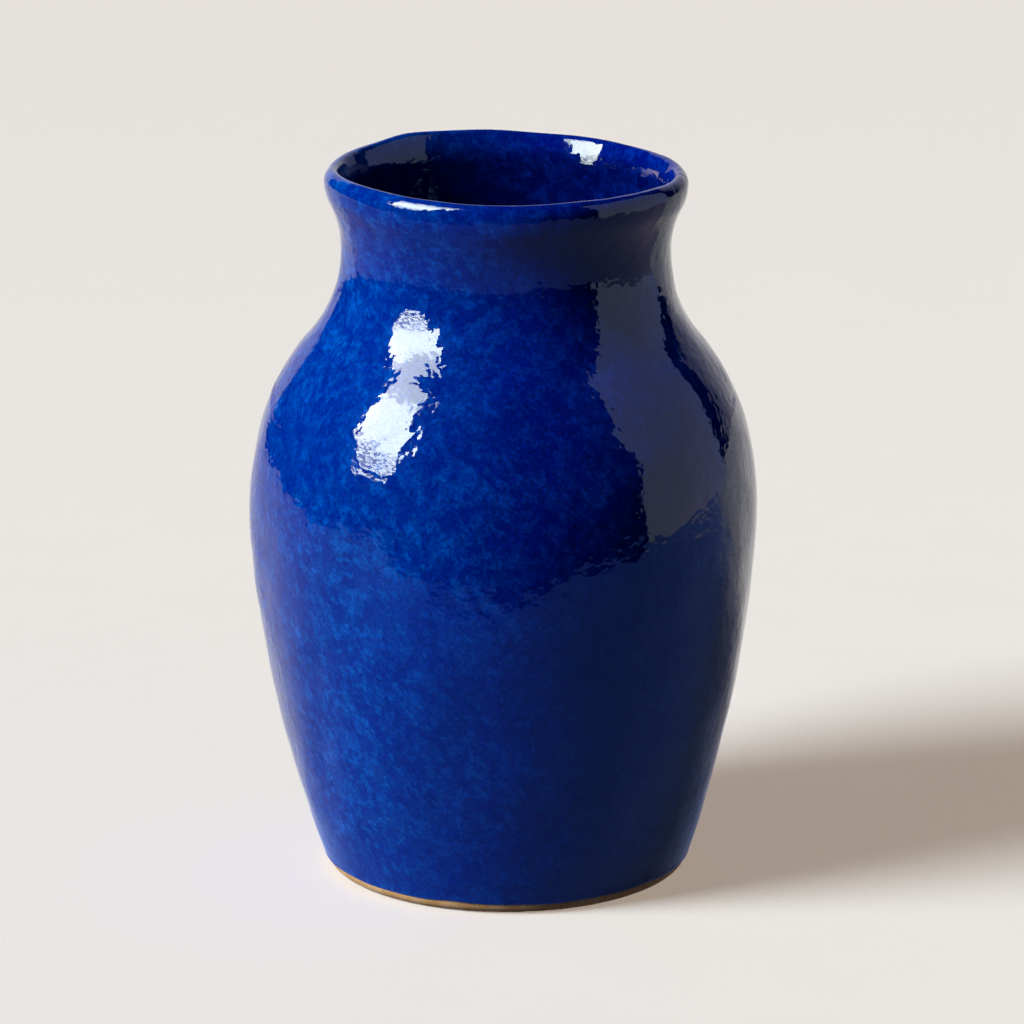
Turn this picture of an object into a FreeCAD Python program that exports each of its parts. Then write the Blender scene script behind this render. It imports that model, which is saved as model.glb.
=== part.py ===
import FreeCAD, Part
import math
import os

import Sketcher

# Hand-made stoneware flower vase. Millimetres, +Z up, origin at the centre of the foot's underside.
# The wall's section is one chain of tangent arcs, turned about Z. Every layer is the same chain moved
# inwards, so the clay and both coats of glaze share their arc centres and fit face to face.
SIZES = {
    "total_height": (250.0, "foot to the top of the lip"),
    "foot_round": (5.3, "rounding of the lower edge, at the glaze's surface"),
    "flank_curve": (465.0, "radius of the long arc from foot to belly"),
    "flank_level": (154.5, "height of that arc's centre"),
    "belly_radius": (88.4, "widest point, from the axis"),
    "belly_level": (128.0, "height of the widest point"),
    "belly_curve": (140.0, "radius of the arc at the belly"),
    "shoulder_curve": (85.0, "radius of the arc over the shoulder"),
    "neck_curve": (51.0, "radius of the hollow arc below the waist"),
    "waist_radius": (57.1, "narrowest point of the neck, from the axis"),
    "waist_level": (222.0, "height of the narrowest point"),
    "flare_curve": (37.0, "radius of the hollow arc above the waist"),
    "crest_radius": (59.8, "from the axis to the top of the lip"),
    "lip_roll": (2.9, "rounding of the top of the lip, at the glaze's surface"),
    "wall": (5.5, "wall thickness with both coats of glaze"),
    "glaze": (0.45, "thickness of one coat of glaze"),
    "slab": (8.0, "thickness of the clay base"),
    "cove_round": (6.0, "rounding between the inner wall and the floor, at the glaze's surface"),
    "coil_seat": (240.0, "height of the joint between the wall and the rim coil"),
    "glaze_line": (4.0, "height where the outer coat starts"),
    "glaze_seam": (238.0, "height inside the mouth where the two coats meet"),
    "reach": (10.0, "how far the dividing blocks extend past the pot"),
}
START, END, CENTRE = 1, 2, 3
VERTICAL_AXIS = -2

doc = FreeCAD.newDocument("flower_vase")


def make_sheet():
    cells = doc.addObject("Spreadsheet::Sheet", "Sizes")
    for row, (alias, (value, note)) in enumerate(SIZES.items(), start=1):
        cells.set(f"A{row}", alias)
        cells.set(f"B{row}", str(value))
        cells.set(f"C{row}", note)
        cells.setAlias(f"B{row}", alias)
    doc.recompute()
    return cells


sheet = make_sheet()


def size(alias):
    return float(sheet.get(alias))


def point(x, y):
    return FreeCAD.Vector(x, y, 0)


def toward(start, end, distance):
    """The point at a distance from start, on the line to end and on past it."""
    return start + (end - start).normalize() * distance


def level_centre(level, other, gap, side):
    """The point at a height that lies a gap from another point, on its left (-1) or right (1)."""
    return point(other.x + side * math.sqrt(gap**2 - (level - other.y) ** 2), level)


def make_centres():
    """Where the section's tangent arcs have their centres, the same for every layer."""
    centres = {}
    belly = point(size("belly_radius") - size("belly_curve"), size("belly_level"))
    neck = point(size("waist_radius") + size("neck_curve"), size("waist_level"))
    flank = level_centre(size("flank_level"), belly, size("flank_curve") - size("belly_curve"), -1)
    to_belly = size("belly_curve") - size("shoulder_curve")
    to_neck = size("shoulder_curve") + size("neck_curve")
    span = neck - belly
    along = (to_belly**2 - to_neck**2 + span.Length**2) / (2 * span.Length)
    unit = point(span.x, span.y).normalize()
    across = math.sqrt(to_belly**2 - along**2)
    centres["belly"] = belly
    centres["neck"] = neck
    centres["flank"] = flank
    centres["shoulder"] = belly + unit * along + point(unit.y, -unit.x) * across
    centres["flare"] = point(size("waist_radius") + size("flare_curve"), size("waist_level"))

    crest = point(size("crest_radius"), size("total_height") - size("lip_roll"))
    rise = crest.y - size("waist_level")
    gap = centres["flare"].x - crest.x - size("lip_roll")
    face_curve = (gap**2 + rise**2 - size("flare_curve") ** 2) / (2 * (size("flare_curve") - gap))
    gap = crest.x - size("waist_radius") + size("wall")
    bell_curve = (gap**2 + rise**2 - size("lip_roll") ** 2) / (2 * (gap - size("lip_roll")))
    centres["crest"] = crest
    centres["face"] = point(crest.x + size("lip_roll") - face_curve, crest.y)
    centres["bell"] = point(size("waist_radius") - size("wall") + bell_curve, size("waist_level"))

    foot_level = size("foot_round") - size("glaze")
    centres["foot"] = level_centre(foot_level, flank, size("flank_curve") - size("foot_round"), 1)
    cove_level = size("slab") + size("glaze") + size("cove_round")
    inner_flank = size("flank_curve") - size("wall")
    centres["cove"] = level_centre(cove_level, flank, inner_flank - size("cove_round"), 1)
    return centres


CENTRES = make_centres()


class Section:
    """A body's sketch in the upright plane, x out from the axis and y up, drawn as a chain of curves.

    The chain starts on the axis, runs anticlockwise and closes down the axis. inset is the distance
    that the layer lies inside the glaze's surface, as a number for the first drawing and as an
    expression for the sheet.
    """

    def __init__(self, label, inset, inset_size):
        self.inset = inset
        self.inset_size = inset_size
        self.body = doc.addObject("PartDesign::Body", label)
        self.body.Label = label
        self.sketch = self.body.newObject("Sketcher::SketchObject", label + "_section")
        plane = next(o for o in self.body.Origin.OriginFeatures if o.Role == "XZ_Plane")
        self.sketch.AttachmentSupport = [(plane, "")]
        self.sketch.MapMode = "FlatFace"
        self.curves = {}

    def bind(self, kind, where, value, expression):
        index = self.sketch.addConstraint(Sketcher.Constraint(kind, *where, value))
        name = f"{kind}_{index}"
        self.sketch.renameConstraint(index, name)
        self.sketch.setExpression(f"Constraints.{name}", expression)

    def tie(self, kind, *where):
        self.sketch.addConstraint(Sketcher.Constraint(kind, *where))

    def level(self, name, which, expression):
        index = self.curves[name][0]
        value = self.sketch.getPoint(index, which).y
        self.bind("DistanceY", (-1, 1, index, which), value, expression)

    def out(self, name, which, expression):
        index = self.curves[name][0]
        value = self.sketch.getPoint(index, which).x
        self.bind("DistanceX", (-1, 1, index, which), value, expression)

    def radius(self, name, expression):
        index = self.curves[name][0]
        self.bind("Radius", (index,), self.sketch.Geometry[index].Radius, expression)

    def line(self, name, start, end):
        self.curves[name] = (self.sketch.addGeometry(Part.LineSegment(start, end)), START, END)

    def arc(self, name, centre, start, end, anticlockwise=True):
        circle = Part.Circle(centre, FreeCAD.Vector(0, 0, 1), (start - centre).Length)
        ends = (start, end) if anticlockwise else (end, start)
        index = self.sketch.addGeometry(Part.ArcOfCircle(circle, *map(circle.parameter, ends)))
        self.curves[name] = (index, START, END) if anticlockwise else (index, END, START)

    def join(self, names, kind):
        """Join each curve's end to the next one's start: Tangent is smooth, Coincident only meets."""
        for before, after in zip(names, names[1:]):
            first, _, first_end = self.curves[before]
            second, second_start, _ = self.curves[after]
            self.tie(kind, first, first_end, second, second_start)

    def share_centre(self, name, other):
        self.tie("Coincident", self.curves[name][0], CENTRE, self.curves[other][0], CENTRE)

    def draw_outside(self, top):
        """From the axis along the base and up the outside. top is where the last arc ends."""
        c = CENTRES
        foot = point(c["foot"].x, c["foot"].y - size("foot_round") + self.inset)
        flank = toward(c["flank"], c["foot"], size("flank_curve") - self.inset)
        belly = toward(c["flank"], c["belly"], size("flank_curve") - self.inset)
        shoulder = toward(c["belly"], c["shoulder"], size("belly_curve") - self.inset)
        neck = toward(c["neck"], c["shoulder"], size("neck_curve") + self.inset)
        waist = point(size("waist_radius") - self.inset, size("waist_level"))
        self.line("base", point(0, foot.y), foot)
        self.arc("foot", c["foot"], foot, flank)
        self.arc("flank", c["flank"], flank, belly)
        self.arc("belly", c["belly"], belly, shoulder)
        self.arc("shoulder", c["shoulder"], shoulder, neck)
        self.arc("neck", c["neck"], neck, waist, anticlockwise=False)
        self.arc("flare", c["flare"], waist, top, anticlockwise=False)

        self.tie("Horizontal", self.curves["base"][0])
        self.radius("foot", f"Sizes.foot_round - {self.inset_size}")
        self.radius("flank", f"Sizes.flank_curve - {self.inset_size}")
        self.radius("belly", f"Sizes.belly_curve - {self.inset_size}")
        self.radius("shoulder", f"Sizes.shoulder_curve - {self.inset_size}")
        self.radius("neck", f"Sizes.neck_curve + {self.inset_size}")
        self.radius("flare", f"Sizes.flare_curve + {self.inset_size}")
        self.level("foot", CENTRE, "Sizes.foot_round - Sizes.glaze")
        self.level("flank", CENTRE, "Sizes.flank_level")
        self.level("belly", CENTRE, "Sizes.belly_level")
        self.level("neck", CENTRE, "Sizes.waist_level")
        self.level("flare", CENTRE, "Sizes.waist_level")
        self.out("belly", CENTRE, "Sizes.belly_radius - Sizes.belly_curve")
        self.out("neck", CENTRE, "Sizes.waist_radius + Sizes.neck_curve")
        self.join(["base", "foot", "flank", "belly", "shoulder", "neck", "flare"], "Tangent")

    def draw_lip_and_inside(self):
        """From the flare over the lip, down the inside and across the floor to the axis."""
        c = CENTRES
        inner = size("wall") - self.inset
        equator = point(c["crest"].x + size("lip_roll") - self.inset, c["crest"].y)
        flare = toward(c["flare"], c["face"], size("flare_curve") + self.inset)
        bell = toward(c["bell"], c["crest"], c["bell"].x - size("waist_radius") + inner)
        waist = point(size("waist_radius") - inner, size("waist_level"))
        neck = toward(c["neck"], c["shoulder"], size("neck_curve") + inner)
        shoulder = toward(c["belly"], c["shoulder"], size("belly_curve") - inner)
        belly = toward(c["flank"], c["belly"], size("flank_curve") - inner)
        flank = toward(c["flank"], c["cove"], size("flank_curve") - inner)
        cove = point(c["cove"].x, c["cove"].y - size("cove_round") - self.inset)
        self.arc("face", c["face"], flare, equator)
        self.arc("crest", c["crest"], equator, bell)
        self.arc("bell", c["bell"], bell, waist)
        self.arc("inner_neck", c["neck"], waist, neck)
        self.arc("inner_shoulder", c["shoulder"], neck, shoulder, anticlockwise=False)
        self.arc("inner_belly", c["belly"], shoulder, belly, anticlockwise=False)
        self.arc("inner_flank", c["flank"], belly, flank, anticlockwise=False)
        self.arc("cove", c["cove"], flank, cove, anticlockwise=False)
        self.line("floor", cove, point(0, cove.y))

        self.radius("crest", f"Sizes.lip_roll - {self.inset_size}")
        self.level("crest", CENTRE, "Sizes.total_height - Sizes.lip_roll")
        self.out("crest", CENTRE, "Sizes.crest_radius")
        self.level("face", CENTRE, "Sizes.total_height - Sizes.lip_roll")
        self.level("bell", CENTRE, "Sizes.waist_level")
        self.radius("inner_neck", f"Sizes.neck_curve + Sizes.wall - {self.inset_size}")
        for name in ("shoulder", "belly", "flank"):
            self.radius(f"inner_{name}", f"Sizes.{name}_curve - Sizes.wall + {self.inset_size}")
        self.share_centre("inner_neck", "neck")
        self.share_centre("inner_belly", "belly")
        self.level("inner_flank", CENTRE, "Sizes.flank_level")
        self.radius("cove", f"Sizes.cove_round + {self.inset_size}")
        self.level("cove", CENTRE, "Sizes.slab + Sizes.glaze + Sizes.cove_round")
        self.tie("Horizontal", self.curves["floor"][0])
        self.join(["flare", "face", "crest", "bell", "inner_neck"], "Tangent")
        self.join(["inner_neck", "inner_shoulder", "inner_belly", "inner_flank", "cove", "floor"], "Tangent")

    def close_and_turn(self, last):
        """Close the chain down the axis and turn the section into a solid."""
        index, _, end = self.curves[last]
        top = self.sketch.getPoint(index, end)
        base = self.sketch.getPoint(self.curves["base"][0], START)
        self.line("axis", top, base)
        self.join([last, "axis", "base"], "Coincident")
        self.tie("Vertical", self.curves["axis"][0])
        self.tie("PointOnObject", self.curves["axis"][0], END, VERTICAL_AXIS)
        if self.sketch.solve() != 0 or not self.sketch.FullyConstrained:
            raise RuntimeError(f"the section of {self.body.Label} isn't fully solved")
        turned = self.body.newObject("PartDesign::Revolution", self.body.Label + "_turned")
        turned.Profile = self.sketch
        turned.ReferenceAxis = (self.sketch, ["V_Axis"])
        turned.Angle = 360.0
        return self.body


def make_pot(label, inset, inset_size):
    """The whole hollow pot, with its surface inset from the glaze's surface."""
    section = Section(label, inset, inset_size)
    flare = toward(CENTRES["flare"], CENTRES["face"], size("flare_curve") + inset)
    section.draw_outside(flare)
    section.draw_lip_and_inside()
    return section.close_and_turn("floor")


def make_core(label):
    """The space inside the middle of the wall, filled up to the seam between the two coats."""
    inset = size("wall") / 2
    section = Section(label, inset, "Sizes.wall / 2")
    flare_curve = size("flare_curve") + inset
    top = level_centre(size("glaze_seam"), CENTRES["flare"], flare_curve, -1)
    section.draw_outside(top)
    section.line("top", top, point(0, top.y))
    section.join(["flare", "top"], "Coincident")
    section.tie("Horizontal", section.curves["top"][0])
    section.level("top", START, "Sizes.glaze_seam")
    return section.close_and_turn("top")


def make_block(label, low, high):
    """A wide round block between two heights, given as expressions."""
    block = doc.addObject("Part::Cylinder", label)
    block.Label = label
    block.setExpression("Radius", "Sizes.belly_radius + Sizes.reach")
    block.setExpression("Height", f"({high}) - ({low})")
    block.setExpression("Placement.Base.z", low)
    return block


def combine(kind, label, base, tool):
    shape = doc.addObject(f"Part::{kind}", label)
    shape.Label = label
    shape.Base = base
    shape.Tool = tool
    return shape


def make_clay():
    """The clay pot, divided where its base, its wall and its rim coil were luted together."""
    pot = make_pot("clay_pot", size("glaze"), "Sizes.glaze")
    below = make_block("slab_block", "-Sizes.reach", "Sizes.slab")
    between = make_block("wall_block", "Sizes.slab", "Sizes.coil_seat")
    above = make_block("coil_block", "Sizes.coil_seat", "Sizes.total_height + Sizes.reach")
    pieces = [combine("Common", "base_slab", pot, below)]
    pieces.append(combine("Common", "body_wall", pot, between))
    pieces.append(combine("Common", "rim_coil", pot, above))
    return pot, pieces


def make_glazes(pot):
    """The glaze is what lies between the glazed pot and the clay one, above the line at the foot."""
    glazed = make_pot("glazed_pot", 0.0, "0")
    skin = combine("Cut", "glaze_skin", glazed, pot)
    bare_foot = make_block("bare_foot_block", "-Sizes.reach", "Sizes.glaze_line")
    coats = combine("Cut", "glaze_coats", skin, bare_foot)
    core = make_core("lining_core")
    return [combine("Cut", "outer_glaze", coats, core), combine("Common", "inner_glaze", coats, core)]


def check(pieces):
    """Stop unless every object has computed and every piece is one valid solid."""
    for item in doc.Objects:
        if "Invalid" in item.State or "Error" in item.State:
            raise RuntimeError(f"{item.Label} has failed: {item.State}")
    for piece in pieces:
        shape = piece.Shape
        if shape.isNull() or not shape.isValid() or len(shape.Solids) != 1:
            raise RuntimeError(f"{piece.Label} isn't one valid solid")


clay_pot, clay_pieces = make_clay()
vase_pieces = clay_pieces + make_glazes(clay_pot)
doc.recompute()
check(vase_pieces)
os.makedirs("parts", exist_ok=True)
for piece in vase_pieces:
    piece.Shape.exportStep(f"parts/{piece.Label}.step")
    box = piece.Shape.optimalBoundingBox(False)
    print(f"{piece.Label}: {piece.Shape.Volume:.0f} mm3, z {box.ZMin:.2f} to {box.ZMax:.2f}, x to {box.XMax:.2f}")
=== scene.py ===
import math

import bpy
import numpy as np
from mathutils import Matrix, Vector


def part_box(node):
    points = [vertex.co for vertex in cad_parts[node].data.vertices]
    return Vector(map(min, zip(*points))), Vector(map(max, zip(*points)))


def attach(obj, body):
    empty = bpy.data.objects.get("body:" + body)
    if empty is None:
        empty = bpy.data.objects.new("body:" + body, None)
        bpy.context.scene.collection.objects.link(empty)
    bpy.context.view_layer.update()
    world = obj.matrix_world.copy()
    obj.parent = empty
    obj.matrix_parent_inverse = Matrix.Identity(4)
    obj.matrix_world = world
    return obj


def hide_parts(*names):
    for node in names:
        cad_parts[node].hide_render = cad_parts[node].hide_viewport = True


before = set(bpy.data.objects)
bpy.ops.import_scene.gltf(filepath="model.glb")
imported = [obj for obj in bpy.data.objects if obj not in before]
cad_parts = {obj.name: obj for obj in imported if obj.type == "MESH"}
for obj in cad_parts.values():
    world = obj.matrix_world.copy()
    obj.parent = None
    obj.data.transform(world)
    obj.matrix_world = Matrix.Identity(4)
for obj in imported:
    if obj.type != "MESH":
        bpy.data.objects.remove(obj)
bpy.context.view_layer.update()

MM = 0.001
FULL_TURN = 2 * math.pi

# Levels and reaches of the pieces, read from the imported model.
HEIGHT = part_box("outer_glaze")[1].z
BELLY_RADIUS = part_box("outer_glaze")[1].x
GLAZE_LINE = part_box("outer_glaze")[0].z
GLAZE_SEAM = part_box("inner_glaze")[1].z
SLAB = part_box("base_slab")[1].z
COIL_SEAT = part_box("rim_coil")[0].z
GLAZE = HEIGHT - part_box("rim_coil")[1].z

# The rest of the turned section, the same dimensions as the CAD source has, in metres.
FOOT_ROUND = 5.3 * MM
FLANK_CURVE = 465 * MM
FLANK_LEVEL = 154.5 * MM
BELLY_LEVEL = 128 * MM
BELLY_CURVE = 140 * MM
SHOULDER_CURVE = 85 * MM
NECK_CURVE = 51 * MM
WAIST_RADIUS = 57.1 * MM
WAIST_LEVEL = 222 * MM
FLARE_CURVE = 37 * MM
CREST_RADIUS = 59.8 * MM
LIP_REACH = 2.9 * MM
WALL = 5.5 * MM
COVE_ROUND = 6 * MM

# The lip is rolled tighter than in the solid, over a brow that turns through an angle in degrees.
BROW_CURVE, LIP_ROLL, BROW_TURN = 5.0 * MM, 2.1 * MM, 50

# Hand-made unevenness follows. Angles round the axis are in degrees from +X towards +Y.
# How far the middle of the pot bows along X.
BOW = -1.15 * MM

# Random swells of the wall as (pitch, size, seed), and the levels between which they set in above the foot.
# Points bob up and down by a share of the second swell. Near the axis, within a reach, they swell less.
SWELLS = ((60 * MM, 0.35 * MM, 11), (20 * MM, 0.10 * MM, 23), (7 * MM, 0.025 * MM, 37))
SWELL_START, SWELL_FULL = 3 * MM, 22 * MM
BOB, STILL_REACH = 0.8, 20 * MM

# How many waves add up to one random field, and how their pitches spread.
WAVES, PITCH_SPREAD = 40, (0.7, 1.6)

# The rim is not level: waves as (how many, size, phase in degrees), and a small kink upwards.
RIM_WAVES = ((1, 0.84 * MM, 170), (2, 0.34 * MM, -145), (3, 0.35 * MM, -78), (4, 0.30 * MM, 110))
RIM_START, RIM_FULL = 214 * MM, 246 * MM
KINK_RISE, KINK_AT, KINK_WIDTH = 0.7 * MM, 124, 10

# A place where the lip is pressed in.
PRESS_DEPTH, PRESS_AT, PRESS_WIDTH = 1.3 * MM, -113, 18
PRESS_START, PRESS_FULL = 232 * MM, 246 * MM

# How much the inside of the mouth is opened out, and up to which reach and above which level.
MOUTH_EASE, MOUTH_REACH, MOUTH_FLOOR = 2.0 * MM, 56.5 * MM, 180 * MM
MOUTH_SPAN = (188 * MM, WAIST_LEVEL, 231 * MM, 247 * MM)

# A soft wave up the neck, from the throwing.
NECK_WAVE, NECK_PITCH, NECK_WAVE_AT = 0.25 * MM, 60 * MM, 237 * MM
NECK_SPAN = (180 * MM, 200 * MM, 236 * MM, 246 * MM)

# The narrow fold across the lip, which hooks sideways as it runs down outside.
CREASE_AT, CREASE_WIDTH, CREASE_DEPTH = -5.0, 0.26 * MM, 0.45 * MM
CREASE_HOOK, HOOK_START, HOOK_FULL = 0.7 * MM, 0.8 * MM, 3.0 * MM
CREASE_START, CREASE_FULL = HEIGHT - 3.6 * MM, HEIGHT - 1.6 * MM

# The wavy lower edge of the glaze: waves as (how many, size, phase in radians), and one small step.
EDGE_WAVES = ((3, 0.22 * MM, 1.1), (7, 0.16 * MM, -0.6), (17, 0.08 * MM, 0.0))
STEP_RISE, STEP_AT, STEP_WIDTH = 0.30 * MM, -108, 5

# The rounded, slightly swollen end of the glaze there: rows by their rise above the edge.
BEAD_RISES = np.array([0.0, 0.03, 0.09, 0.18, 0.30, 0.45, 0.65, 0.95, 1.4, 2.0, 2.8]) * MM
BEAD_ROUND, BEAD_SWELL, BEAD_AT, BEAD_WIDTH = 0.5 * MM, 0.10 * MM, 0.8 * MM, 0.7 * MM
BEAD_CLEAR = 1.2 * MM

# How finely the meshes are cut.
COLUMNS = 372
CREASE_COLUMNS, CREASE_SPREAD = 33, math.radians(1.6)
CLAY_COLUMNS = 192
FLOOR_ROWS = 16
SLAB_ROWS = 9
EYE_RADIUS = 2 * MM


# ---------------------------------------------------------------- section

def meet(a, reach_a, b, reach_b):
    """The point at given distances from two others, on the right of the way from a to b."""
    gap = np.subtract(b, a)
    length = np.hypot(*gap)
    along = (reach_a**2 - reach_b**2 + length**2) / (2 * length)
    aside = math.sqrt(reach_a**2 - along**2)
    way = gap / length
    return np.asarray(a) + along * way + aside * np.array([way[1], -way[0]])


def upright_curve(gap, rise, radius):
    """The radius of an arc that stands upright at one point and runs smoothly into another arc.

    Gap and rise lead from that point to the centre of the other arc, which has the given radius."""
    return (gap**2 + rise**2 - radius**2) / (2 * abs(radius - gap))


class Leg:
    """One arc of the section.

    Its side is 1 where a layer deeper in the wall has a smaller radius, and -1 where it has a larger one.
    make_legs sets the angles of its start and end."""

    def __init__(self, centre, radius, side):
        self.centre, self.radius, self.side = np.asarray(centre), radius, side

    def size(self, inset):
        return self.radius - self.side * inset

    def angle_to(self, other):
        way = np.subtract(other.centre, self.centre)
        if self.side == other.side and self.radius < other.radius:
            way = -way
        return math.atan2(way[1], way[0])

    def angle_at(self, level, inset):
        """The angle at which the arc is at a level, on the same side as its middle."""
        lift = np.arcsin((level - self.centre[1]) / self.size(inset))
        return lift if math.cos((self.start + self.end) / 2) > 0 else math.pi - lift

    def points(self, count, inset=0.0, start=None, end=None):
        """Rows of radius and height from start to end, which may differ from column to column."""
        start = self.start if start is None else start
        end = self.end if end is None else end
        share = np.linspace(0, 1, count)[:, None]
        angle = np.atleast_1d(start) * (1 - share) + np.atleast_1d(end) * share
        size = self.size(inset)
        return self.centre[0] + size * np.cos(angle), self.centre[1] + size * np.sin(angle)


def body_plan():
    """The arcs of the pot's skin from under the foot to the neck, and those of the inside, as
    (name, centre, radius, side)."""
    belly = (BELLY_RADIUS - BELLY_CURVE, BELLY_LEVEL)
    neck = (WAIST_RADIUS + NECK_CURVE, WAIST_LEVEL)
    drop = FLANK_LEVEL - BELLY_LEVEL
    flank = (belly[0] - math.sqrt((FLANK_CURVE - BELLY_CURVE)**2 - drop**2), FLANK_LEVEL)
    shoulder = meet(belly, BELLY_CURVE - SHOULDER_CURVE, neck, SHOULDER_CURVE + NECK_CURVE)

    def on_flank(level, reach):
        return flank[0] + math.sqrt(reach**2 - (level - flank[1])**2), level

    foot = on_flank(FOOT_ROUND - GLAZE, FLANK_CURVE - FOOT_ROUND)
    cove = on_flank(SLAB + GLAZE + COVE_ROUND, FLANK_CURVE - WALL - COVE_ROUND)
    outside = [
        ("foot", foot, FOOT_ROUND, 1),
        ("flank", flank, FLANK_CURVE, 1),
        ("belly", belly, BELLY_CURVE, 1),
        ("shoulder", shoulder, SHOULDER_CURVE, 1),
        ("neck", neck, NECK_CURVE, -1),
    ]
    inside = [
        ("neck_in", neck, NECK_CURVE + WALL, 1),
        ("shoulder_in", shoulder, SHOULDER_CURVE - WALL, -1),
        ("belly_in", belly, BELLY_CURVE - WALL, -1),
        ("flank_in", flank, FLANK_CURVE - WALL, -1),
        ("cove", cove, COVE_ROUND, -1),
    ]
    return outside, inside


def lip_plan():
    """The arcs from the waist, over the lip and back to the waist inside, as (name, centre, radius, side)."""
    widest = CREST_RADIUS + LIP_REACH
    turn, offset = math.radians(BROW_TURN), BROW_CURVE - LIP_ROLL
    crest_level = HEIGHT - LIP_ROLL
    brow = (widest - BROW_CURVE, crest_level - offset * math.sin(turn))
    crest = (brow[0] + offset * math.cos(turn), crest_level)
    flare = (WAIST_RADIUS + FLARE_CURVE, WAIST_LEVEL)
    face_curve = upright_curve(flare[0] - widest, brow[1] - WAIST_LEVEL, FLARE_CURVE)
    face = (widest - face_curve, brow[1])
    mouth_radius = WAIST_RADIUS - WALL
    bell_curve = upright_curve(crest[0] - mouth_radius, crest[1] - WAIST_LEVEL, LIP_ROLL)
    bell = (mouth_radius + bell_curve, WAIST_LEVEL)
    return [
        ("flare", flare, FLARE_CURVE, -1),
        ("face", face, face_curve, 1),
        ("brow", brow, BROW_CURVE, 1),
        ("crest", crest, LIP_ROLL, 1),
        ("bell", bell, bell_curve, 1),
    ]


def make_legs():
    """The whole section, from under the foot, up outside, over the lip and down to the floor inside."""
    outside, inside = body_plan()
    plan = outside + lip_plan() + inside
    legs = {name: Leg(centre, radius, side) for name, centre, radius, side in plan}
    chain = list(legs.values())
    chain[0].start = -math.pi / 2
    for before, after in zip(chain, chain[1:]):
        before.end = before.angle_to(after)
        after.start = after.angle_to(before)
    chain[-1].end = -math.pi / 2
    for leg in chain:
        leg.end = leg.start + (leg.end - leg.start + math.pi) % FULL_TURN - math.pi
    return legs


LEGS = make_legs()


def trace(plan, inset=0.0, first=None, last=None):
    """Rows along several legs. A plan is (name, rows) pairs; first and last are the angles at its ends."""
    radii, heights = [], []
    for i, (name, count) in enumerate(plan):
        start = first if i == 0 else None
        end = last if i == len(plan) - 1 else None
        r, z = LEGS[name].points(count, inset, start, end)
        keep = slice(0, None) if i == len(plan) - 1 else slice(0, -1)
        radii.append(r[keep])
        heights.append(z[keep])
    columns = max(r.shape[1] for r in radii)
    wide = [np.broadcast_to(r, (len(r), columns)) for r in radii]
    high = [np.broadcast_to(z, (len(z), columns)) for z in heights]
    return np.vstack(wide), np.vstack(high)


# ---------------------------------------------------------------- unevenness

def ramp(value, low, high):
    """A smooth step from 0 at low to 1 at high."""
    share = np.clip((value - low) / (high - low), 0, 1)
    return share * share * (3 - 2 * share)


def span(value, start, full, fade, end):
    """1 between full and fade, easing to 0 at start and at end."""
    return ramp(value, start, full) * (1 - ramp(value, fade, end))


def bulge(around, at, width):
    """A smooth bump round the axis, 1 at an angle in degrees and fading over a width in degrees."""
    off = (np.degrees(around) - at + 180) % 360 - 180
    return np.exp(-((off / width) ** 2))


def ripple(points, pitch, seed):
    """A smooth random field of unit strength, with bumps about pitch apart."""
    rng = np.random.default_rng(seed)
    total = np.zeros(points.shape[:-1])
    for _ in range(WAVES):
        heading = rng.normal(size=3)
        heading *= FULL_TURN / (np.linalg.norm(heading) * pitch * rng.uniform(*PITCH_SPREAD))
        total += np.cos(points @ heading + rng.uniform(0, FULL_TURN))
    return total * math.sqrt(2 / WAVES)


def rim_lift(around):
    """How much higher than level the rim is, at an angle around the axis."""
    lift = sum(size * np.cos(n * around - math.radians(at)) for n, size, at in RIM_WAVES)
    return lift + KINK_RISE * bulge(around, KINK_AT, KINK_WIDTH)


def uneven(points):
    """Moves points of the true turned shape to where the hand-made pot has them. Every layer uses it."""
    x, y, z = points[..., 0], points[..., 1], points[..., 2]
    reach = np.maximum(np.hypot(x, y), 1e-6)
    around = np.arctan2(y, x)
    free = ramp(z, SWELL_START, SWELL_FULL)
    swell = sum(size * ripple(points, pitch, seed) for pitch, size, seed in SWELLS)
    pitch, size, seed = SWELLS[1]
    bob = BOB * size * ripple(points, pitch, seed + 1)
    in_mouth = (reach < MOUTH_REACH) & (z > MOUTH_FLOOR)
    swell = swell + np.where(in_mouth, MOUTH_EASE * span(z, *MOUTH_SPAN), 0)
    ring = np.cos(FULL_TURN * (z - NECK_WAVE_AT) / NECK_PITCH)
    swell = swell + NECK_WAVE * ring * span(z, *NECK_SPAN)
    press = PRESS_DEPTH * bulge(around, PRESS_AT, PRESS_WIDTH)
    swell = swell - press * ramp(z, PRESS_START, PRESS_FULL)
    outward = free * swell * np.minimum(reach / STILL_REACH, 1) / reach
    moved = points.copy()
    moved[..., 0] += outward * x + BOW * np.sin(math.pi * np.clip(z / HEIGHT, 0, 1))
    moved[..., 1] += outward * y
    moved[..., 2] += ramp(z, RIM_START, RIM_FULL) * rim_lift(around) + free * bob
    return moved


# ---------------------------------------------------------------- meshes

def columns_with_crease():
    """Angles around the axis, closer together at the crease in the lip."""
    fine = math.radians(CREASE_AT) + CREASE_SPREAD * np.linspace(-1, 1, CREASE_COLUMNS)
    rest = np.linspace(fine[-1], fine[0] + FULL_TURN, COLUMNS - CREASE_COLUMNS + 2)[1:-1]
    return np.concatenate([fine, rest])


def even_columns(count):
    return np.arange(count) * FULL_TURN / count


def place(rows, around):
    """Radius and height rows as points in space."""
    r, z = (np.broadcast_to(a, (len(a), len(around))) for a in rows)
    return np.stack([r * np.cos(around), r * np.sin(around), z], axis=-1)


def join_rows(*parts):
    """Stacks rows of radius and height that may be one column or many."""
    columns = max(p[0].shape[1] for p in parts)
    return tuple(
        np.vstack([np.broadcast_to(p[i], (len(p[i]), columns)) for p in parts])
        for i in (0, 1)
    )


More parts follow.
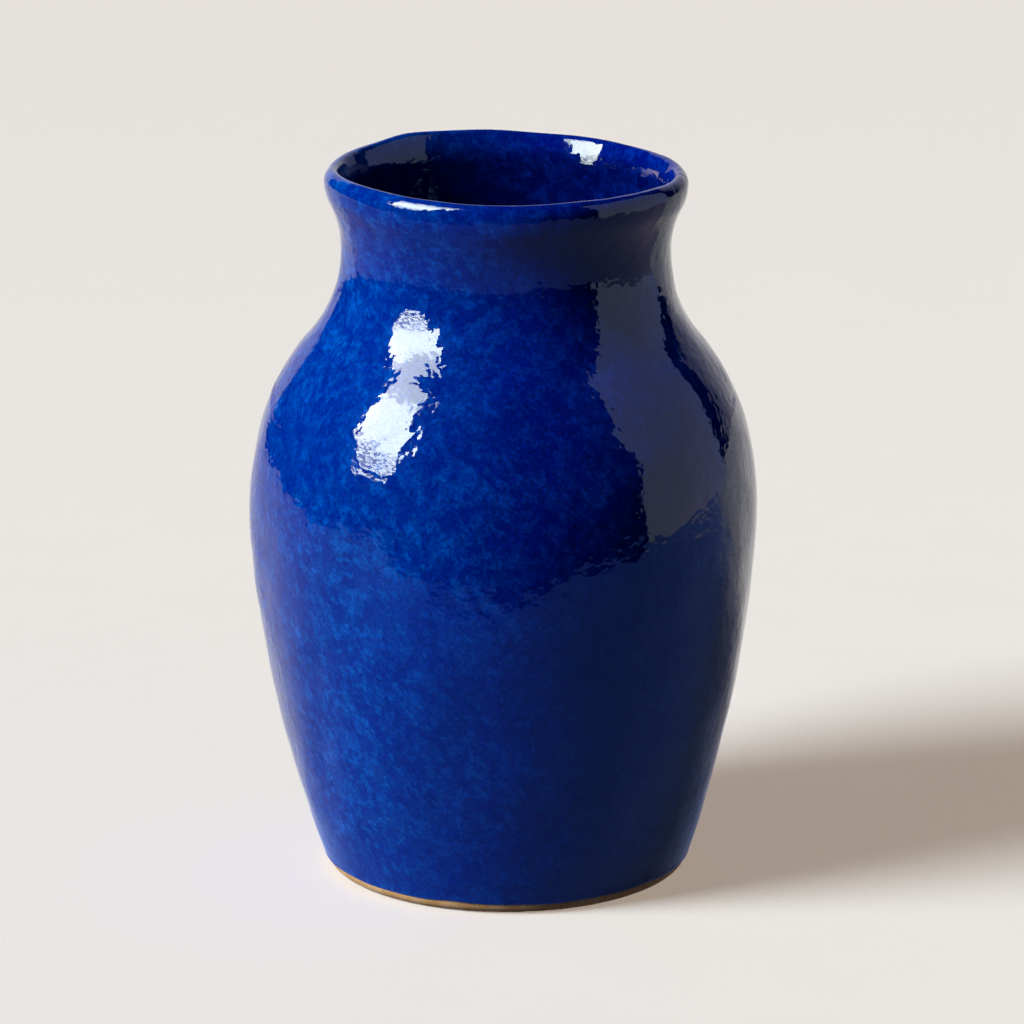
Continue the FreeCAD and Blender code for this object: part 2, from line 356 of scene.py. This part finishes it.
def level_disc(radii, level):
    """Rows of a flat disc at a level."""
    return radii[:, None], np.full_like(radii[:, None], level)


def lathe(name, grid, closed, material):
    """A mesh from rows of points round the axis.

    A closed one joins its last row to its first; an open one ends in two poles on the axis."""
    rows, columns, _ = grid.shape
    verts = grid.reshape(-1, 3)
    index = np.arange(rows * columns).reshape(rows, columns)
    right = np.roll(index, -1, axis=1)
    upper, upper_right = np.roll(index, -1, axis=0), np.roll(right, -1, axis=0)
    last = rows if closed else rows - 1
    quads = np.stack([index, right, upper_right, upper], axis=-1)[:last].reshape(-1, 4)
    faces = quads.tolist()
    if not closed:
        poles = np.array([[0, 0, grid[0, :, 2].mean()], [0, 0, grid[-1, :, 2].mean()]])
        verts = np.vstack([verts, poles])
        low, high = rows * columns, rows * columns + 1
        faces += [[low, b, a] for a, b in zip(index[0].tolist(), right[0].tolist())]
        faces += [[high, a, b] for a, b in zip(index[-1].tolist(), right[-1].tolist())]
    mesh = bpy.data.meshes.new(name)
    mesh.from_pydata(verts.tolist(), [], faces)
    mesh.validate()
    mesh.shade_smooth()
    piece = bpy.data.objects.new(name, mesh)
    bpy.context.scene.collection.objects.link(piece)
    mesh.materials.append(material)
    return piece


def hold_normals(piece, rows, normals):
    """Sets the normals of some vertices, so that light runs on unbroken across a seam with the next piece."""
    wanted = np.zeros((len(piece.data.vertices), 3))
    wanted[rows] = normals
    piece.data.normals_split_custom_set_from_vertices(wanted.tolist())


def row_normals(before, row, after):
    """Normals of one row of points, from the rows beside it."""
    along = after - before
    across = np.roll(row, -1, axis=0) - np.roll(row, 1, axis=0)
    normal = np.cross(across, along)
    return normal / np.linalg.norm(normal, axis=1)[:, None]


def glaze_edge(around):
    """The level of the wavy line where the glaze was wiped back from the foot."""
    line = sum(size * np.cos(count * around + phase) for count, size, phase in EDGE_WAVES)
    return GLAZE_LINE + line + STEP_RISE * bulge(around, STEP_AT, STEP_WIDTH)


def bead_rows(around):
    """The rounded lower edge of the glaze, from the clay out to the skin."""
    flank = LEGS["flank"]
    edge = glaze_edge(around)
    radii, heights = [], []
    for rise in BEAD_RISES:
        share = min(rise / BEAD_ROUND, 1)
        inset = GLAZE * (1 - math.sqrt(1 - (1 - share) ** 2))
        inset -= BEAD_SWELL * math.exp(-(((rise - BEAD_AT) / BEAD_WIDTH) ** 2)) * share
        angle = flank.angle_at(edge + rise, inset)
        size = flank.size(inset)
        radii.append(flank.centre[0] + size * np.cos(angle))
        heights.append(flank.centre[1] + size * np.sin(angle))
    return np.array(radii), np.array(heights)


def press_crease(grid, base, around):
    """Presses the narrow fold across the lip into rows of points of the coat."""
    off = (around - math.radians(CREASE_AT) + math.pi) % FULL_TURN - math.pi
    z = base[..., 2]
    outside = np.hypot(base[..., 0], base[..., 1]) - CREST_RADIUS
    gap = off * CREST_RADIUS - CREASE_HOOK * ramp(outside, HOOK_START, HOOK_FULL)
    depth = CREASE_DEPTH * ramp(z, CREASE_START, CREASE_FULL) * np.exp(-((gap / CREASE_WIDTH) ** 2))
    centre = np.stack([CREST_RADIUS * np.cos(around), CREST_RADIUS * np.sin(around)], axis=-1)
    inward = np.empty_like(base)
    inward[..., :2] = centre - base[..., :2]
    inward[..., 2] = (HEIGHT - LIP_REACH) - z
    inward /= np.linalg.norm(inward, axis=-1)[..., None]
    return grid + depth[..., None] * inward


def coat_section(around):
    """Rows of the outer coat, all round its section, and how many of them show."""
    seam = LEGS["bell"].angle_at(GLAZE_SEAM, 0.0)
    bead = bead_rows(around)
    bead_end = LEGS["flank"].angle_at(bead[1][-1] + BEAD_CLEAR, 0.0)
    visible = trace(
        [("flank", 72), ("belly", 22), ("shoulder", 31), ("neck", 27), ("flare", 14),
         ("face", 11), ("brow", 13), ("crest", 13), ("bell", 11)], 0.0, bead_end, seam)
    back = trace(
        [("flank", 9), ("belly", 3), ("shoulder", 4), ("neck", 4), ("flare", 3),
         ("face", 3), ("brow", 4), ("crest", 5), ("bell", 3)], GLAZE,
        LEGS["flank"].angle_at(glaze_edge(around), GLAZE), LEGS["bell"].angle_at(GLAZE_SEAM, GLAZE))
    back = tuple(a[:0:-1] for a in back)
    return join_rows(bead, visible, back), len(bead[0]) + len(visible[0])


def lining_section():
    """Rows of the lining from the middle of its underside to that of the floor, and how many are hidden."""
    skin = trace(
        [("bell", 11), ("neck_in", 24), ("shoulder_in", 24), ("belly_in", 17),
         ("flank_in", 54), ("cove", 13)], 0.0, LEGS["bell"].angle_at(GLAZE_SEAM, 0.0))
    radii = np.linspace(skin[0][-1, 0], EYE_RADIUS, FLOOR_ROWS)[1:]
    under = trace(
        [("bell", 4), ("neck_in", 6), ("shoulder_in", 6), ("belly_in", 5),
         ("flank_in", 14), ("cove", 6)], GLAZE, LEGS["bell"].angle_at(GLAZE_SEAM, GLAZE))
    under = join_rows(under, level_disc(radii[::3], SLAB))
    rows = join_rows(tuple(a[::-1] for a in under), skin, level_disc(radii, SLAB + GLAZE))
    return rows, len(under[0])


def make_glazes(materials):
    """The two coats of glaze, which meet in an even seam a little inside the mouth."""
    around = columns_with_crease()
    count = len(around)
    coat_rows, shown = coat_section(around)
    lining_rows, hidden = lining_section()
    coat_base = place(coat_rows, around)
    coat = press_crease(uneven(coat_base), coat_base, around)
    lining = uneven(place(lining_rows, around))
    coat_piece = lathe("cobalt_coat", coat, True, materials["outer"])
    lining_piece = lathe("lining_coat", lining, False, materials["inner"])
    normals = row_normals(coat[shown - 2], lining[hidden], lining[hidden + 1])
    hold_normals(coat_piece, np.arange(count) + (shown - 1) * count, normals)
    hold_normals(lining_piece, np.arange(count) + hidden * count, normals)
    return coat_piece, lining_piece


def make_clay(materials):
    """The three pieces of clay: the slab of the foot, the thrown wall on it, and the coil on the wall."""
    around = even_columns(CLAY_COLUMNS)
    slab_edge = LEGS["flank"].angle_at(SLAB, GLAZE)
    coil_foot = LEGS["face"].angle_at(COIL_SEAT, GLAZE)
    coil_heel = LEGS["bell"].angle_at(COIL_SEAT, GLAZE)

    edge = trace([("foot", 10), ("flank", 9)], GLAZE, None, slab_edge)
    underside = level_disc(np.linspace(EYE_RADIUS, edge[0][0, 0], SLAB_ROWS)[:-1], 0.0)
    top = level_disc(np.linspace(edge[0][-1, 0], EYE_RADIUS, SLAB_ROWS)[1:], SLAB)
    slab = join_rows(underside, edge, top)

    up = trace(
        [("flank", 40), ("belly", 12), ("shoulder", 16), ("neck", 12), ("flare", 6), ("face", 3)],
        GLAZE, slab_edge, coil_foot)
    down = trace(
        [("bell", 6), ("neck_in", 14), ("shoulder_in", 14), ("belly_in", 10), ("flank_in", 36), ("cove", 8)],
        GLAZE, coil_heel)
    wall = join_rows(up, down)

    coil = trace([("face", 7), ("brow", 9), ("crest", 9), ("bell", 8)], GLAZE, coil_foot, coil_heel)
    plans = (("clay_foot", slab, False), ("clay_wall", wall, True), ("clay_coil", coil, True))
    return [
        lathe(name, uneven(place(rows, around)), closed, materials["clay"])
        for name, rows, closed in plans]


# ---------------------------------------------------------------- node graphs

class Graph:
    """Short ways to add nodes to the tree of a material or of the world."""

    def __init__(self, owner):
        owner.use_nodes = True
        self.owner, self.tree = owner, owner.node_tree

    def add(self, kind, **settings):
        node = self.tree.nodes.new(kind)
        for key, value in settings.items():
            setattr(node, key, value)
        return node

    def put(self, value, socket):
        if isinstance(value, bpy.types.NodeSocket):
            self.tree.links.new(value, socket)
        else:
            socket.default_value = value

    def split(self, vector):
        node = self.add("ShaderNodeSeparateXYZ")
        self.put(vector, node.inputs[0])
        return node.outputs

    def math(self, operation, a, b=0.0):
        node = self.add("ShaderNodeMath", operation=operation)
        self.put(a, node.inputs[0])
        self.put(b, node.inputs[1])
        return node.outputs[0]

    def mix(self, share, a, b):
        node = self.add("ShaderNodeMix", data_type="RGBA")
        self.put(share, node.inputs[0])
        self.put(a, node.inputs[6])
        self.put(b, node.inputs[7])
        return node.outputs[2]


class Surface(Graph):
    """The graph of a material with Blender's Principled shader, laid out in object coordinates."""

    def __init__(self, name):
        super().__init__(bpy.data.materials.new(name))
        self.shader = self.tree.nodes["Principled BSDF"]
        self.place = self.add("ShaderNodeTexCoord").outputs["Object"]

    def noise(self, size, detail=2.0, roughness=0.5, distortion=0.0, place=None):
        """Noise whose patches are about size across, in metres."""
        node = self.add("ShaderNodeTexNoise")
        self.put(place or self.place, node.inputs["Vector"])
        self.put(1 / size, node.inputs["Scale"])
        self.put(detail, node.inputs["Detail"])
        self.put(roughness, node.inputs["Roughness"])
        self.put(distortion, node.inputs["Distortion"])
        return node.outputs["Fac"]

    def stretched(self, scale):
        """Coordinates in which noise runs long where the scale is small."""
        node = self.add("ShaderNodeMapping")
        self.put(self.place, node.inputs["Vector"])
        self.put(scale, node.inputs["Scale"])
        return node.outputs["Vector"]

    def turned(self, turn, scale):
        """Coordinates turned about Y and then stretched, so that patches lie aslant."""
        node = self.add("ShaderNodeMapping", vector_type="TEXTURE")
        self.put(self.place, node.inputs["Vector"])
        self.put((0.0, turn, 0.0), node.inputs["Rotation"])
        self.put(tuple(1 / s for s in scale), node.inputs["Scale"])
        return node.outputs["Vector"]

    def spread(self, value, low, high, start=0.0, end=1.0):
        """A smooth step from start, where the value is low, to end, where it is high."""
        node = self.add("ShaderNodeMapRange", interpolation_type="SMOOTHSTEP")
        self.put(value, node.inputs["Value"])
        for key, number in (("From Min", low), ("From Max", high), ("To Min", start), ("To Max", end)):
            self.put(number, node.inputs[key])
        return node.outputs["Result"]

    def bump(self, height, distance, before=None):
        node = self.add("ShaderNodeBump")
        self.put(height, node.inputs["Height"])
        self.put(1.0, node.inputs["Strength"])
        self.put(distance, node.inputs["Distance"])
        if before is not None:
            self.put(before, node.inputs["Normal"])
        return node.outputs["Normal"]

    def set(self, **values):
        names = {"base": "Base Color", "rough": "Roughness", "ior": "IOR", "normal": "Normal",
                 "tint": "Specular Tint", "level": "Specular IOR Level"}
        for key, value in values.items():
            self.put(value, self.shader.inputs[names[key]])
        return self.owner


# ---------------------------------------------------------------- materials of the vase

# Tones of the glaze: sunlit on the left, darker to the right as a painted shade on the side away from the key
# light, and darker again inside as a painted shade in the mouth.
DEEP_TONES = ((0.0, 0.008, 0.15, 1), (0.0, 0.0015, 0.075, 1), (0.0, 0.0005, 0.030, 1))
MIDDLE_TONES = ((0.0, 0.030, 0.345, 1), (0.0, 0.0085, 0.240, 1), (0.0, 0.003, 0.085, 1))
LIGHT_TONES = ((0.0, 0.145, 0.70, 1), (0.0, 0.042, 0.44, 1), (0.0, 0.022, 0.27, 1))
# Painted shade: between these two reaches along X the glaze turns from its sunlit tones to its darker ones.
SUNLIT_SIDE, PAINTED_SHADE_SIDE = -55 * MM, 20 * MM

# The levels and the reach between which the outer coat counts as inside, where it takes the darker inside
# tones as a painted shade.
DARK_FLOOR, DARK_FULL, DARK_END, DARK_REACH = 235.5 * MM, 239.5 * MM, 248 * MM, 57.2 * MM

# The patches of the glaze lie aslant, by a turn in radians. Then the depths of its unevenness, and its gloss.
FLOW_TURN, FLOW_SCALE = 0.8, (0.75, 1.0, 1.0)
SAG_DEPTH, PEEL_DEPTH, RING_DEPTH = 0.11 * MM, 0.14 * MM, 0.22 * MM
GLAZE_IOR, GLAZE_TINT = 1.28, (0.6, 1.1, 2.35, 1.0)

CLAY_DARK, CLAY_PALE, IRON = (0.74, 0.38, 0.15, 1), (0.92, 0.56, 0.28, 1), (0.10, 0.045, 0.02, 1)


def inside_lip(g):
    """1 on the inner side of the lip, where the outer coat turns as dark as the lining with a painted shade,
    and 0 elsewhere.
    """
    x, y, z = g.split(g.place)
    reach = g.math("SQRT", g.math("ADD", g.math("MULTIPLY", x, x), g.math("MULTIPLY", y, y)))
    under_lip = g.spread(z, DARK_FULL, DARK_END, 1.0, 0.0)
    above_waist = g.math("GREATER_THAN", z, DARK_FLOOR)
    within = g.math("LESS_THAN", reach, DARK_REACH)
    return g.math("MULTIPLY", g.math("MULTIPLY", under_lip, above_waist), within)


def glaze_material(name, inside=None):
    """Glossy cobalt glaze over stoneware: mottled where it broke in the kiln, with a fine orange peel.

    Its colour darkens to the right, a painted shade away from the key light, and darkens much more inside, a
    painted shade in the mouth, where the rings of the wheel show."""
    g = Surface(name)
    if inside is None:
        inside = inside_lip(g)
    # Painted shade: a share that darkens the glaze from the left to the right, away from the key light.
    painted_shade_share = g.spread(g.split(g.place)[0], SUNLIT_SIDE, PAINTED_SHADE_SIDE)
    # Each tone is sunlit, painted shade on the right, or painted shade inside.
    deep, middle, light = (
        g.mix(inside, g.mix(painted_shade_share, sunlit_tone, painted_shade_tone), painted_inside_tone)
        for sunlit_tone, painted_shade_tone, painted_inside_tone in (DEEP_TONES, MIDDLE_TONES, LIGHT_TONES))

    flow = g.turned(FLOW_TURN, FLOW_SCALE)
    cloud = g.spread(g.noise(36 * MM, 3.0, 0.55), 0.30, 0.70)
    patch = g.spread(g.noise(7.5 * MM, 2.0, 0.50, 0.3, flow), 0.40, 0.68)
    dapple = g.spread(g.noise(3.2 * MM, 3.0, 0.62, 0.0, flow), 0.46, 0.66)
    grain = g.spread(g.noise(1.3 * MM, 4.0, 0.70), 0.32, 0.70)
    bloom = g.math("ADD", g.math("MULTIPLY", patch, 0.34), g.math("MULTIPLY", dapple, 0.56))
    bloom = g.math("MULTIPLY", bloom, g.spread(cloud, 0.0, 1.0, 0.55, 1.0))
    colour = g.mix(bloom, middle, light)
    colour = g.mix(g.math("MULTIPLY", grain, 0.68), colour, deep)

    sag = g.noise(9 * MM, 2.0, 0.5)
    peel = g.noise(2.8 * MM, 1.0, 0.5, 0.0, g.turned(0.0, (0.78, 0.78, 1.0)))
    rings = g.noise(3.2 * MM, 2.0, 0.6, 0.0, g.stretched((0.14, 0.14, 1.0)))
    normal = g.bump(sag, SAG_DEPTH)
    normal = g.bump(peel, PEEL_DEPTH, normal)
    normal = g.bump(g.math("MULTIPLY", rings, inside), RING_DEPTH, normal)
    rough = g.spread(g.noise(5 * MM, 3.0, 0.6), 0.3, 0.7, 0.035, 0.075)
    return g.set(base=colour, rough=rough, ior=GLAZE_IOR, tint=GLAZE_TINT, normal=normal)


def clay_material(name):
    """Bare stoneware: warm tan with iron specks, wheel rings and a dry, sandy surface."""
    g = Surface(name)
    colour = g.mix(g.spread(g.noise(9 * MM, 4.0, 0.6), 0.35, 0.65), CLAY_DARK, CLAY_PALE)
    speck = g.spread(g.noise(0.9 * MM, 2.0, 0.5), 0.62, 0.70)
    colour = g.mix(g.math("MULTIPLY", speck, 0.7), colour, IRON)
    rings = g.noise(0.6 * MM, 2.0, 0.5, 0.0, g.stretched((0.04, 0.04, 1.0)))
    sand = g.noise(0.35 * MM, 2.0, 0.6)
    normal = g.bump(rings, 0.10 * MM)
    normal = g.bump(sand, 0.05 * MM, normal)
    rough = g.spread(g.noise(3 * MM, 2.0, 0.5), 0.3, 0.7, 0.62, 0.8)
    return g.set(base=colour, rough=rough, level=0.3, normal=normal)


# ---------------------------------------------------------------- table

# How far the table reaches on each side, its colours, and where it turns to the far one.
TABLE_FAR = 60.0
PAPER_TONES = (0.790, 0.785, 0.775, 1), (0.810, 0.805, 0.795, 1)
FLECK, FAR_PAPER = (0.86, 0.855, 0.845, 1), (0.798, 0.785, 0.775, 1)
FAR_FADE = (0.1, 1.6)

# The part of the table that the glaze mirrors: its reach and level, and its colours in front and on the left,
# which are blue tints that paint the table's reflection in the glaze bluer.
# These end along a line that slopes to the back on the right.
MIRRORED_X, MIRRORED_Y, MIRRORED_LEVEL = (-1.1, 3.0), (-0.42, 2.6), 0.2 * MM
MIRRORED_FRONT, MIRRORED_LEFT = (0.33, 0.49, 1.0, 1), (0.80, 0.90, 1.0, 1)
LEFT_FADE, BACK_FADE, BACK_SLOPE = (-0.55, -0.12), (-0.03, 0.16), 0.35


def paper_material(name, front=None, left=None):
    """The pale table: matt, with a faint tooth.

    It may turn to other colours in front of the pot and on its left; on the mirrored copy these tints paint
    the table's reflection in the glaze."""
    g = Surface(name)
    x, y, _ = g.split(g.place)
    colour = g.mix(g.spread(g.noise(60 * MM, 4.0, 0.55), 0.3, 0.7), *PAPER_TONES)
    colour = g.mix(g.spread(g.noise(0.9 * MM, 3.0, 0.7), 0.30, 0.70), colour, FLECK)
    colour = g.mix(g.spread(y, *FAR_FADE), colour, FAR_PAPER)
    if front:
        front = g.mix(g.spread(x, *LEFT_FADE), left, front)
        back = g.math("SUBTRACT", y, g.math("MULTIPLY", x, BACK_SLOPE))
        colour = g.mix(g.spread(back, *BACK_FADE), front, colour)
    normal = g.bump(g.noise(1.2 * MM, 3.0, 0.6), 0.06 * MM)
    return g.set(base=colour, rough=0.9, level=0.0, normal=normal)


def flat_piece(name, ring, material, uvs=None):
    """A flat mesh of one face."""
    mesh = bpy.data.meshes.new(name)
    mesh.from_pydata(ring, [], [tuple(range(len(ring)))])
    if uvs:
        layer = mesh.uv_layers.new(name="UVMap")
        for loop, uv in zip(layer.data, uvs):
            loop.uv = uv
    mesh.materials.append(material)
    piece = bpy.data.objects.new(name, mesh)
    bpy.context.scene.collection.objects.link(piece)
    return piece


def make_table():
    """The table top, and the part of it that the glaze mirrors, which is tinted cooler in front of the pot to
    paint a bluer reflection of the table in the glaze.
    """
    def rectangle(x0, x1, y0, y1, z):
        return [(x0, y0, z), (x1, y0, z), (x1, y1, z), (x0, y1, z)]

    whole = rectangle(-TABLE_FAR, TABLE_FAR, -TABLE_FAR, TABLE_FAR, 0)
    top = flat_piece("table", whole, paper_material("pale_paper"))
    top.visible_glossy = top.visible_diffuse = False
    # Painted reflection: this copy is seen only in the gloss, and its blue tints colour the table's
    # reflection in the glaze.
    paper = paper_material("mirrored_paper", MIRRORED_FRONT, MIRRORED_LEFT)
    mirrored = flat_piece("table_mirrored", rectangle(*MIRRORED_X, *MIRRORED_Y, MIRRORED_LEVEL), paper)
    mirrored.visible_camera = mirrored.visible_diffuse = mirrored.visible_shadow = False


# ---------------------------------------------------------------- light

# Suns as (azimuth, elevation and width in degrees, strength, colour, whether it casts a shadow).
SUNS = {
    "key_light": (-66.5, 29, 27, 3.78, (0.92, 1.0, 1.06), True),
    "fill_light": (180, 45, 90, 1.53, (1.22, 1.0, 0.82), False),
}

# The softbox: its bearing in degrees, distance, size, lower corners and strength up its height.
SOFTBOX_AT, SOFTBOX_FAR, SOFTBOX_SIZE, SOFTBOX_CUT = (-65.5, 31.6), 2.6, (1.25, 2.17), 0.38
SOFTBOX_COLOUR, SOFTBOX_STRENGTH = (1.0, 0.64, 0.28), 78.0
SOFTBOX_FADE = (
    (0.0, 0.0), (0.05, 0.85), (0.09, 0.04), (0.14, 1.0), (0.18, 0.12), (0.23, 1.0), (0.27, 0.45),
    (0.31, 1.0), (0.73, 1.0), (0.79, 0.60), (1.0, 0.55))

# How much of a card's cut each lower corner has, and how standing cards stand.
LEFT_CUT, RIGHT_CUT = 1.5, 0.7
STANDING_CUT, CARD_LIFT = 1 * MM, 2 * MM

# The point on the pot's axis that the softbox faces.
SHOULDER_AIM = Vector((0, 0, 0.18))

# A dim ring round the shoulder, which only the neck above it mirrors.
RING_INNER, RING_OUTER, RING_LEVEL = 92 * MM, 310 * MM, 165 * MM
RING_ANGLES = range(-120, 111, 10)
RING_COLOUR = (0.50, 0.42, 0.50)

# The backdrop: where it stands, its left end, where it starts to wane and its right end, and its height.
BACKDROP_Y, BACKDROP_X, BACKDROP_HEIGHT = 2.5, (-1.75, 0.9, 2.7), 1.9
BACKDROP_COLOUR, BACKDROP_WANE, BACKDROP_STRENGTH = (0.80, 0.77, 0.75), (0.27, 0.25, 0.30), 0.95

# The grey panel on the right: its ends as (azimuth, distance), its height and its colours at the two ends.
PANEL_ENDS, PANEL_HEIGHT = ((59.5, 0.75), (118.5, 1.05)), 1.1
PANEL_COLOUR, PANEL_FAR_COLOUR = (2.15, 1.52, 1.06), (0.62, 0.72, 1.10)

# What the world gives to matt surfaces, to the eye and to the gloss.
AMBIENT, SURROUNDINGS, UNLIT = (0.034, 0.032, 0.031, 1), (0.80, 0.77, 0.74, 1), (0.0, 0.0, 0.0, 1)


def glow_material(name, colour, strength, fade=None, far_colour=None, one_sided=False):
    """A lamp's face.

    A fade is (share, strength) pairs up its height; a far colour is what it turns to along its width.
    A one-sided one is clear from behind."""
    g = Graph(bpy.data.materials.new(name))
    g.tree.nodes.clear()
    glow = g.add("ShaderNodeEmission")
    face = glow.outputs[0]
    along, up, _ = g.split(g.add("ShaderNodeTexCoord").outputs["UV"])
    g.put(g.mix(along, (*colour, 1), (*far_colour, 1)) if far_colour else (*colour, 1), glow.inputs["Color"])
    if fade:
        steps = g.add("ShaderNodeFloatCurve")
        curve = steps.mapping.curves[0]
        for share, level in fade[1:-1]:
            curve.points.new(share, level)
        for point, (share, level) in zip(curve.points, fade):
            point.location = (share, level)
        steps.mapping.update()
        g.put(up, steps.inputs["Value"])
        strength = g.math("MULTIPLY", steps.outputs[0], strength)
    g.put(strength, glow.inputs["Strength"])
    if one_sided:
        either = g.add("ShaderNodeMixShader")
        g.put(g.add("ShaderNodeNewGeometry").outputs["Backfacing"], either.inputs[0])
        g.put(face, either.inputs[1])
        g.put(g.add("ShaderNodeBsdfTransparent").outputs[0], either.inputs[2])
        face = either.outputs[0]
    g.put(face, g.add("ShaderNodeOutputMaterial").inputs["Surface"])
    return g.owner


def bearing(azimuth, elevation=0):
    """The way to a lamp. Azimuth 0 is in front of the pot and 90 is on its right."""
    a, e = math.radians(azimuth), math.radians(elevation)
    return Vector((math.sin(a) * math.cos(e), -math.cos(a) * math.cos(e), math.sin(e)))


def sun(name, azimuth, elevation, width, strength, colour, shadow):
    lamp = bpy.data.lights.new(name, "SUN")
    lamp.angle, lamp.energy, lamp.color = math.radians(width), strength, colour
    lamp.use_shadow = lamp.cycles.use_multiple_importance_sampling = shadow
    holder = bpy.data.objects.new(name, lamp)
    holder.rotation_mode = "QUATERNION"
    holder.rotation_quaternion = bearing(azimuth, elevation).to_track_quat("Z", "Y")
    holder.visible_glossy = False
    bpy.context.scene.collection.objects.link(holder)


def mirrored_card(name, ring, material, uvs=None):
    """A lit flat card that only the gloss of the glaze shows."""
    card = flat_piece(name, ring, material, uvs)
    card.visible_camera = card.visible_diffuse = card.visible_shadow = False
    card.visible_transmission = card.visible_volume_scatter = False


def placed_card(name, corner, across, up, material, cut):
    """A card from its lower left corner, with its two lower corners cut off."""
    wide, high = cut / across.length, cut / up.length
    uvs = [
        (LEFT_CUT * wide, 0), (1 - RIGHT_CUT * wide, 0), (1, RIGHT_CUT * high),
        (1, 1), (0, 1), (0, LEFT_CUT * high)]
    mirrored_card(name, [tuple(corner + across * u + up * v) for u, v in uvs], material, uvs)


def facing_card(name, way, distance, size, material, cut):
    """A card some way off from the pot's shoulder, turned to face it."""
    across = Vector((0, 0, 1)).cross(way).normalized() * size[0]
    up = way.cross(across).normalized() * size[1]
    placed_card(name, SHOULDER_AIM + way * distance - across / 2 - up / 2, across, up, material, cut)


def standing_card(name, start, end, height, material):
    """An upright card just above the table between two points."""
    foot = Vector((*start, CARD_LIFT))
    across = Vector((*end, CARD_LIFT)) - foot
    placed_card(name, foot, across, Vector((0, 0, height)), material, STANDING_CUT)


def make_softbox():
    """The large lamp on the left, which makes the main highlight on the shoulder."""
    soft = glow_material("softbox_glow", SOFTBOX_COLOUR, SOFTBOX_STRENGTH, SOFTBOX_FADE)
    facing_card("softbox", bearing(*SOFTBOX_AT), SOFTBOX_FAR, SOFTBOX_SIZE, soft, SOFTBOX_CUT)


def make_low_reflector():
    """A dim flat ring round the shoulder, lit on its upper side, which only the neck mirrors."""
    low = glow_material("low_glow", RING_COLOUR, 1.0, one_sided=True)
    turns = [math.radians(angle) for angle in RING_ANGLES]
    inner = [(RING_INNER * math.sin(a), -RING_INNER * math.cos(a), RING_LEVEL) for a in turns]
    outer = [(RING_OUTER * math.sin(a), -RING_OUTER * math.cos(a), RING_LEVEL) for a in reversed(turns)]
    mirrored_card("low_reflector", (inner + outer)[::-1], low)


def make_backdrop():
    """The pale wall behind the pot, which wanes to the right."""
    left, middle, right = ((x, BACKDROP_Y) for x in BACKDROP_X)
    wall = glow_material("backdrop_glow", BACKDROP_COLOUR, BACKDROP_STRENGTH)
    standing_card("backdrop", left, middle, BACKDROP_HEIGHT, wall)
    wane = glow_material("backdrop_wane_glow", BACKDROP_COLOUR, BACKDROP_STRENGTH, far_colour=BACKDROP_WANE)
    standing_card("backdrop_wane", middle, right, BACKDROP_HEIGHT, wane)


def make_panel():
    """The grey panel on the right, close to the pot."""
    grey = glow_material("panel_glow", PANEL_COLOUR, 1.0, far_colour=PANEL_FAR_COLOUR)
    near, far = (bearing(azimuth) * distance for azimuth, distance in PANEL_ENDS)
    standing_card("panel", near.xy, far.xy, PANEL_HEIGHT, grey)


def make_lights():
    for name, settings in SUNS.items():
        sun(name, *settings)
    make_softbox()
    make_low_reflector()
    make_backdrop()
    make_panel()


def make_world():
    """Pale surroundings for the eye, a little light from all round, and a dark studio in the gloss."""
    world = bpy.data.worlds.new("studio")
    bpy.context.scene.world = world
    g = Graph(world)
    path = g.add("ShaderNodeLightPath")
    plain = g.mix(path.outputs["Is Camera Ray"], AMBIENT, SURROUNDINGS)
    gloss = g.mix(path.outputs["Is Glossy Ray"], plain, UNLIT)
    g.put(gloss, g.tree.nodes["Background"].inputs["Color"])


# ---------------------------------------------------------------- camera

CAMERA_TARGET, CAMERA_TILT, CAMERA_FAR = Vector((0.0018, 0, 0.12689)), math.radians(15.53), 2.0685
FOCAL_LENGTH, SENSOR_WIDTH = 207.9, 36
CLIP_START, CLIP_END = 0.05, 200


def make_camera():
    back = Vector((0, -math.cos(CAMERA_TILT), math.sin(CAMERA_TILT)))
    lens = bpy.data.cameras.new("camera")
    lens.lens, lens.sensor_width = FOCAL_LENGTH, SENSOR_WIDTH
    lens.clip_start, lens.clip_end = CLIP_START, CLIP_END
    camera = bpy.data.objects.new("camera", lens)
    camera.location = CAMERA_TARGET + back * CAMERA_FAR
    camera.rotation_mode = "QUATERNION"
    camera.rotation_quaternion = back.to_track_quat("Z", "Y")
    bpy.context.scene.collection.objects.link(camera)
    bpy.context.scene.camera = camera


# ---------------------------------------------------------------- the whole

def make_vase():
    materials = {
        "outer": glaze_material("cobalt_glaze"),
        # The lining takes the darker inside tones throughout, a painted shade in the mouth.
        "inner": glaze_material("cobalt_glaze_inside", 1.0),
        "clay": clay_material("bare_stoneware"),
    }
    coat, lining = make_glazes(materials)
    foot, wall, coil = make_clay(materials)
    jobs = (
        (coat, "outer_glaze", "outer_cobalt_glaze"),
        (lining, "inner_glaze", "inner_cobalt_glaze"),
        (foot, "base_slab", "stoneware"),
        (wall, "body_wall", "stoneware"),
        (coil, "rim_coil", "stoneware"),
    )
    for piece, node, slot in jobs:
        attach(piece, "root")
        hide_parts(node)


make_camera()
make_world()
make_table()
make_lights()
make_vase()
bpy.context.scene.view_settings.view_transform = "Standard"
bpy.context.scene.cycles.caustics_reflective = False
